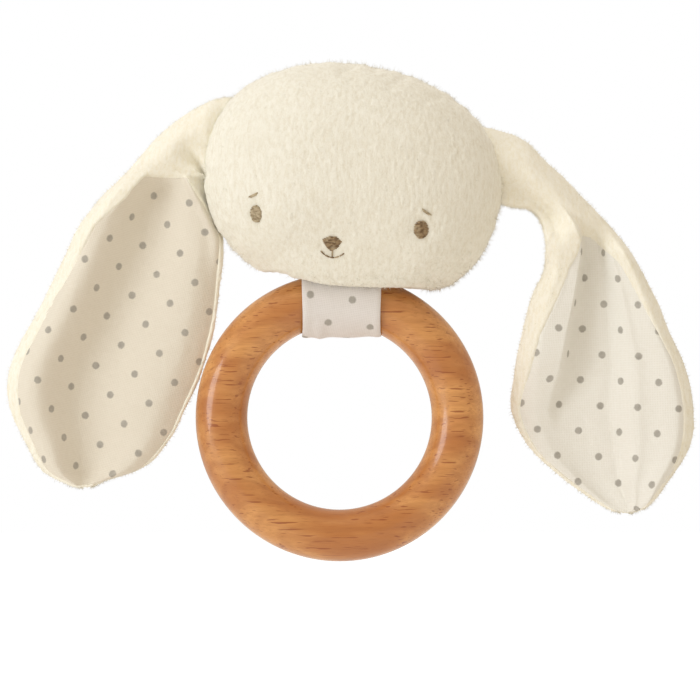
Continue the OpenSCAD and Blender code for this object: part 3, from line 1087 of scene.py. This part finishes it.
def lining_layer(ear, lift):
    """One side of the lining, as rows of points across its bed, lifted towards the front."""
    start, end = ear.lining[0][0], ear.lining[-1][0]
    layer = []
    for row in np.linspace(start, end, LINING_ROWS):
        at = np.full(LINING_COLS, row)
        left, right = ear.lining_sides(row)
        _, width = ear.flat(at[:1], np.zeros(1))
        spare = TUCK / width[0]
        t = np.linspace(left - spare, right + spare, LINING_COLS)
        flat, _ = ear.flat(at, t)
        sin_theta = np.sqrt(np.clip(1 - (1 - 2 * t) ** 2, 0, 1))
        half = ear.half_thickness(at) * sin_theta**EDGE_POWER
        y = ear.fold[1] + ear.depth(at, t) - half + RECESS - lift
        layer.append(np.column_stack([flat[:, 0], y, flat[:, 1]]))
    return np.array(layer)


def wrinkle(front, shift):
    """Loose wrinkles over the lining, fading to its edges, which are pushed into the plush."""
    rows, cols, _ = front.shape
    co = front.reshape(-1, 3)
    ripple = 0.30 * noise_at(co, 9 * MM, 0.5, 17.0 + shift)
    fine = 0.07 * noise_at(co, 2.4 * MM, 1, 23.0 + shift)
    rows_in = np.minimum(np.arange(rows), np.arange(rows)[::-1])[:, None] / 12
    cols_in = np.minimum(np.arange(cols), np.arange(cols)[::-1])[None, :] / 10
    free = np.clip(np.minimum(rows_in, cols_in), 0, 1)
    push = ((ripple + fine) * MM).reshape(rows, cols) * free
    front[:, :, 1] += push + 0.25 * MM * (1 - np.clip(2 * free, 0, 1))


def sheet_faces(rows, cols):
    """Faces of a thin closed sheet: a front grid of points, a back grid, and the rim between."""
    count = rows * cols
    faces = []
    for i in range(rows - 1):
        for j in range(cols - 1):
            a, b = i * cols + j, i * cols + j + 1
            c, d = b + cols, a + cols
            faces.append((a, b, c, d))
            faces.append((count + d, count + c, count + b, count + a))
    rim = list(range(cols))
    rim += [i * cols + cols - 1 for i in range(1, rows)]
    rim += [(rows - 1) * cols + j for j in range(cols - 2, -1, -1)]
    rim += [i * cols for i in range(rows - 2, 0, -1)]
    for a, b in zip(rim, rim[1:] + rim[:1]):
        faces.append((b, a, count + a, count + b))
    return faces


def build_ear_lining(ear, cotton, grain_turn, dot_spot):
    """The dotted lining: a thin closed sheet that lies in its bed, with its edges tucked in."""
    front = lining_layer(ear, LINING_PROUD + LINING_T)
    back = lining_layer(ear, LINING_PROUD)
    wrinkle(front, ear.side)
    cloth = cloth_places(front, grain_turn, dot_spot)
    faces = sheet_faces(LINING_ROWS, LINING_COLS)
    if ear.side < 0:
        faces = flipped(faces)
    verts = np.concatenate([front.reshape(-1, 3), back.reshape(-1, 3)])
    uvs = np.concatenate([cloth, cloth])
    lining = mesh_object(ear.name + "_ear_lining_cloth", verts, faces, uvs)
    dress(lining, cotton)
    return lining


def cloth_places(front, turn, dot_spot):
    """Where each point lies on the flat cloth, from a dot, so that dots keep their size."""
    right, up = front[:, :, 0] - dot_spot[0], front[:, :, 2] - dot_spot[1]
    u, v = rotated(right, up, turn)
    step_u = np.diff(u, axis=1)
    step_y = np.diff(front[:, :, 1], axis=1)
    real = np.sign(step_u) * np.hypot(step_u, step_y)
    extra = np.cumsum(real - step_u, axis=1)
    extra = np.concatenate([np.zeros((len(u), 1)), extra], axis=1)
    middle = front.shape[1] // 2
    u = u + extra - extra[:, middle:middle + 1]
    return np.stack([u, v], axis=-1).reshape(-1, 2) / CLOTH_UNIT


LEFT_ROOT = ((11.6 * MM, 68), (9.9 * MM, -95))
LEFT_EDGES = [
    (-0.02, -0.25, 0.02, 0.02), (0.135, -0.20, 0.03, 0.015), (0.275, -0.12, 0.03, 0.005),
    (0.40, -0.02, 0.03, 0.0), (0.545, 0.07, -0.01, 0.09), (0.655, 0.175, -0.055, 0.20),
    (0.75, 0.305, -0.04, 0.335), (0.87, 0.46, -0.01, 0.485), (0.985, 0.615, 0.05, 0.63),
    (0.985, 0.74, 0.13, 0.75), (0.905, 0.865, 0.20, 0.845), (0.825, 0.95, 0.33, 0.94),
    (0.695, 0.995, 0.52, 0.985), (0.63, 1.003, 0.585, 1.001),
]
LEFT_LINING = [
    (3.1, 0.24, 0.78), (3.5, 0.17, 0.775), (4, 0.08, 0.78), (4.8, 0.02, 0.9), (7, 0.01, 0.94),
    (9, 0.01, 0.95), (11, 0.02, 0.96), (12.4, 0.05, 0.94),
]
LEFT_HALVES = [(-3, 1.6), (0, 2.6), (1.5, 2.9), (3, 2.3), (4, 1.5), (12, 1.3), (13, 0.7)]
RIGHT_ROOT = ((9.9 * MM, 76), (8.6 * MM, -88))
RIGHT_EDGES = [
    (-0.053, -0.34, 0.008, -0.08), (0.134, -0.30, 0.09, -0.065), (0.27, -0.215, 0.163, -0.06),
    (0.397, -0.13, 0.21, -0.04), (0.512, -0.05, 0.243, 0.005), (0.617, 0.035, 0.255, 0.075),
    (0.708, 0.125, 0.247, 0.16), (0.79, 0.24, 0.19, 0.245), (0.877, 0.375, 0.14, 0.375),
    (0.955, 0.495, 0.103, 0.505), (0.995, 0.645, 0.09, 0.645), (0.967, 0.78, 0.18, 0.775),
    (0.862, 0.895, 0.348, 0.88), (0.772, 0.972, 0.543, 0.975), (0.677, 1.0, 0.625, 0.995),
]
RIGHT_LINING = [
    (4.75, 0.52, 0.55), (5, 0.46, 0.68), (6, 0.25, 0.82), (7, 0.21, 0.88), (8, 0.11, 0.925),
    (9, 0.08, 0.94), (10, 0.035, 0.945), (12, 0.03, 0.96), (13.9, 0.08, 0.92),
]
RIGHT_HALVES = [
    (-3, 1.8), (0, 3.4), (1.5, 4.0), (3, 3.4), (5, 2.0), (7, 1.4), (13, 1.3), (14, 0.7),
]


def build_ears():
    """Both ears, each with its cotton, the turn of its grain and the place of one dot."""
    left = Ear("left", -1, LEFT_EDGES, LEFT_LINING, LEFT_HALVES, LEFT_ROOT, left_depth)
    right = Ear("right", 1, RIGHT_EDGES, RIGHT_LINING, RIGHT_HALVES, RIGHT_ROOT, right_depth)
    # The left lining wears the darker, warmer copy of the cotton as painted shade.
    left_cotton = (left, SHADED_COTTON, math.radians(12), (-65.7 * MM, 7.6 * MM))
    right_cotton = (right, COTTON, math.radians(2), (63.5 * MM, 2.8 * MM))
    for ear, cotton, grain_turn, dot_spot in (left_cotton, right_cotton):
        plush = build_ear_plush(ear)
        lining = build_ear_lining(ear, cotton, grain_turn, dot_spot)
        for piece in (plush, lining):
            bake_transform(piece)
        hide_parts(ear.name + "_ear_root", ear.name + "_ear_plush")
        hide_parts(ear.name + "_ear_lining")


# ---- loop ----

LOOP_STEPS = 150
LOOP_COLS = 72
LOOP_X = 0.5 * MM
LOOP_GRAIN = math.radians(7)

# The turn from the top at which the band leaves the ring, and how far up it meets the seam.
LOOP_LEAVES = math.radians(52)
LOOP_PEAK_Z = TUBE_Z + LOOP_R + 3.6 * MM

# Where one dot is on the band's front.
LOOP_DOT_X = -7.5 * MM
LOOP_DOT_Z = TUBE_Z + 1.1 * MM


def loop_path():
    """The loop's middle line seen from the side: round the ring, and up to the seam."""
    edge_z = TUBE_Z + LOOP_R * math.cos(LOOP_LEAVES)
    points = []
    for a in turns(LOOP_STEPS):
        away = min(a, 2 * math.pi - a)
        y = LOOP_R * math.sin(a)
        z = LOOP_R * math.cos(a) + (TUBE_Z if math.cos(a) > 0 else LOOP_LOW_Z)
        if away < LOOP_LEAVES:
            f = 1 - away / LOOP_LEAVES
            edge_y = math.copysign(LOOP_R * math.sin(LOOP_LEAVES), math.pi - a)
            y = edge_y * (1 - f) * (1 - 0.12 * f)
            z = edge_z + (LOOP_PEAK_Z - edge_z) * f
        points.append((y, z))
    return np.array(points)


def loop_rows(path):
    """The band's points and their places on the cloth, one row of points per step of its path."""
    ahead = unit(np.roll(path, -1, axis=0) - np.roll(path, 1, axis=0))
    out = np.column_stack([-ahead[:, 1], ahead[:, 0]])
    along = np.concatenate([[0], np.cumsum(np.linalg.norm(np.diff(path, axis=0), axis=1))])
    dot_row = int(np.argmin(np.abs(path[:, 1] - LOOP_DOT_Z) + (path[:, 0] > 0)))
    theta = turns(LOOP_COLS)
    flat_x = -signed_power(np.cos(theta), 0.7)
    sheet = signed_power(np.sin(theta), 0.35)
    hem = 1 + 0.55 * bell(np.abs(flat_x), 0.9, 0.09)
    verts, uvs = [], []
    for (y, z), (out_y, out_z), far in zip(path, out, along):
        wave = 1 + 0.012 * math.sin(far / (3.1 * MM))
        x = flat_x * (LOOP_W / 2 * wave)
        ripple = 0.16 * MM * np.sin(x / (2.6 * MM) + 1.3 * far / (9 * MM))
        low = bell(z, LOOP_LOW_Z - LOOP_R, 3 * MM)
        sag = low * MM * (0.2 * np.sin(x / (2.1 * MM) + 0.8) + 0.5 * bell(x, -5.2 * MM, 1.3 * MM))
        off = sheet * LOOP_T / 2 * hem + np.maximum(ripple, -0.05 * MM) + sag
        verts.append(np.column_stack([x + LOOP_X, y + out_y * off, z + out_z * off]))
        u, v = rotated(x - LOOP_DOT_X, far - along[dot_row], LOOP_GRAIN)
        uvs.append(np.column_stack([u, v]))
    return np.concatenate(verts), np.concatenate(uvs) / CLOTH_UNIT


def build_loop():
    """A flat band with turned-in edges that goes round the ring and up into the head's seam."""
    verts, uvs = loop_rows(loop_path())
    faces = tube_faces(LOOP_STEPS, LOOP_COLS, joined=True)
    band = mesh_object("ring_loop_cloth", verts, faces, uvs)
    with editing(band) as bm:
        bmesh.ops.recalc_face_normals(bm, faces=bm.faces[:])
    # The loop's darker cotton is painted shade from the head above it.
    dress(band, SHADED_LOOP_COTTON)
    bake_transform(band)
    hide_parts("ring_loop")


# ---- pieces that keep their CAD shape ----


def dress_cad_nodes():
    """Materials for the ring and for the pieces inside the head."""
    plain = {
        "wooden_ring": (wood_material("varnished_beech"), "beech"),
        # The sewn ends wear the loop's darker cotton, painted shade from the head.
        "loop_sewn_ends": (SHADED_LOOP_COTTON, "dotted_cotton"),
        "head_stuffing": (fibre_material("filling"), "fibrefill"),
        "rattle_beads": (bead_material("beads"), "bead_steel"),
    }
    capsule = capsule_material("capsule")
    for half in ("front", "back"):
        plain["rattle_shell_" + half] = (capsule, "capsule_plastic")
    for node, (material, slot) in plain.items():
        obj = frame["nodes"][node]
        dress(obj, material)
        shade_smooth(obj.data)


# ---- floor, light and camera ----

FLOOR_HALF = 3.0
FLOOR_Z = -0.15
VIEW_W = 170.2 * MM
VIEW_AT = Vector((2.55 * MM, 0, 16.4 * MM))
VIEW_DISTANCE = 1.1
LIT_AT = Vector((0, 0, 0.03))


def build_floor():
    """A wide sheet of pale paper, a little brighter to the camera than its light makes it."""
    sides = ((-1, -1), (1, -1), (1, 1), (-1, 1))
    co = [(FLOOR_HALF * x, FLOOR_HALF * y, FLOOR_Z) for x, y in sides]
    floor = mesh_object("floor", co, [(0, 1, 2, 3)])
    m = Nodes("floor_paper")
    tone = m.mix(m.noise(3 * MM, detail=3), colour(246, 245, 243), colour(252, 251, 249))
    seen = m.times(m.add("ShaderNodeLightPath").outputs["Is Camera Ray"], 0.6)
    paper = m.finish(
        Base_Color=tone, Roughness=0.9, Emission_Color=(0.72, 0.85, 1, 1), Emission_Strength=seen
    )
    floor.data.materials.append(paper)


def area_light(name, place, size, power, tint, glossy):
    """A round soft lamp aimed at the toy. One that isn't glossy leaves no highlight."""
    data = bpy.data.lights.new(name, "AREA")
    data.shape = "DISK"
    data.size = size
    data.energy = power
    data.color = tint
    light = bpy.data.objects.new(name, data)
    light.location = place
    light.rotation_euler = (LIT_AT - Vector(place)).to_track_quat("-Z", "Y").to_euler()
    light.visible_glossy = glossy
    link(light)


def build_light():
    """A warm sky that the camera sees as white, and three cool or neutral lamps."""
    world = bpy.data.worlds.new("studio")
    bpy.context.scene.world = world
    world.use_nodes = True
    tree = world.node_tree
    sky, white = tree.nodes["Background"], tree.nodes.new("ShaderNodeBackground")
    for node, tint, strength in ((sky, (1.0, 0.885, 0.74, 1), 0.675), (white, (1, 1, 1, 1), 1.0)):
        node.inputs["Color"].default_value = tint
        node.inputs["Strength"].default_value = strength
    path = tree.nodes.new("ShaderNodeLightPath")
    mix = tree.nodes.new("ShaderNodeMixShader")
    for out, socket in zip(
        (path.outputs["Is Camera Ray"], sky.outputs[0], white.outputs[0]), mix.inputs
    ):
        tree.links.new(out, socket)
    tree.links.new(mix.outputs[0], tree.nodes["World Output"].inputs["Surface"])
    area_light("key", (-0.86, -0.56, 0.14), 0.50, 2.9, (0.88, 0.94, 1), True)
    area_light("top", (-0.25, -0.35, 0.90), 0.80, 2.9, (0.90, 0.95, 1), False)
    area_light("back", (0.10, 0.60, 0.45), 0.6, 1.6, (1, 0.98, 0.95), False)


def build_camera():
    """A camera level with the toy, far enough back that the view is VIEW_W wide there."""
    data = bpy.data.cameras.new("camera")
    data.sensor_width = 36
    data.lens = data.sensor_width * VIEW_DISTANCE / VIEW_W
    camera = bpy.data.objects.new("camera", data)
    camera.location = VIEW_AT + Vector((0, -VIEW_DISTANCE, 0))
    camera.rotation_euler = (math.radians(90), 0, 0)
    link(camera)
    bpy.context.scene.camera = camera


build_face(build_head())
build_ears()
build_loop()
dress_cad_nodes()
build_floor()
build_light()
build_camera()
bpy.context.scene.view_settings.view_transform = "Standard"
